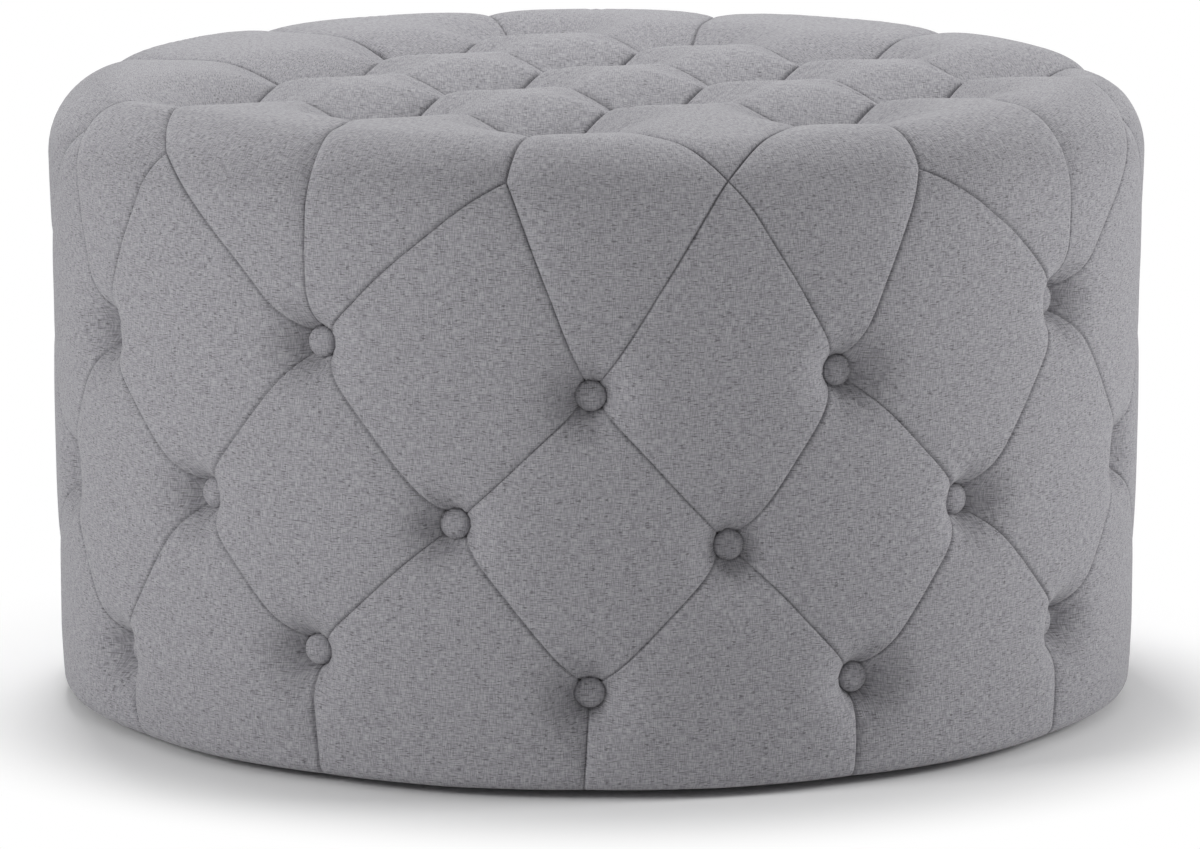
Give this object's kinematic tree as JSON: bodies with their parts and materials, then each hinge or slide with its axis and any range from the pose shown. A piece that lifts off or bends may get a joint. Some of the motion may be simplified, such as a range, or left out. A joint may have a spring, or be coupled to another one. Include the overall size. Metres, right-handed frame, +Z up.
{
  "type": "round tufted ottoman",
  "caption": "Round upholstered ottoman: a drum-shaped padded seat and footrest covered in grey linen-look cloth, button-tufted on its top and side.",
  "frame": {"origin": "centre of the drum on the floor, under the glides' undersides", "axes": "+Z up; the side seen in the picture faces -Y"},
  "size_m": [0.8073, 0.8071, 0.4669],
  "materials": {
    "grey_linen": "matte",
    "foam": "matte",
    "hardboard": "satin",
    "timber": "matte",
    "zinc_steel": "satin",
    "black_cloth": "matte",
    "black_plastic": "matte"
  },
  "bodies": {
    "root": {"cover": "grey_linen", "top_buttons": "grey_linen", "upper_side_buttons": "grey_linen", "middle_side_buttons": "grey_linen", "lower_side_buttons": "grey_linen", "top_foam": "foam", "side_foam": "foam", "side_panel_left": "hardboard", "side_panel_right": "hardboard", "top_deck": "timber", "base_board": "timber", "post_1": "timber", "post_2": "timber", "post_3": "timber", "post_4": "timber", "post_5": "timber", "post_6": "timber", "deck_screws": "zinc_steel", "base_screws": "zinc_steel", "glide_nails": "zinc_steel", "dust_cloth": "black_cloth", "glides": "black_plastic"}
  },
  "joints": []
}
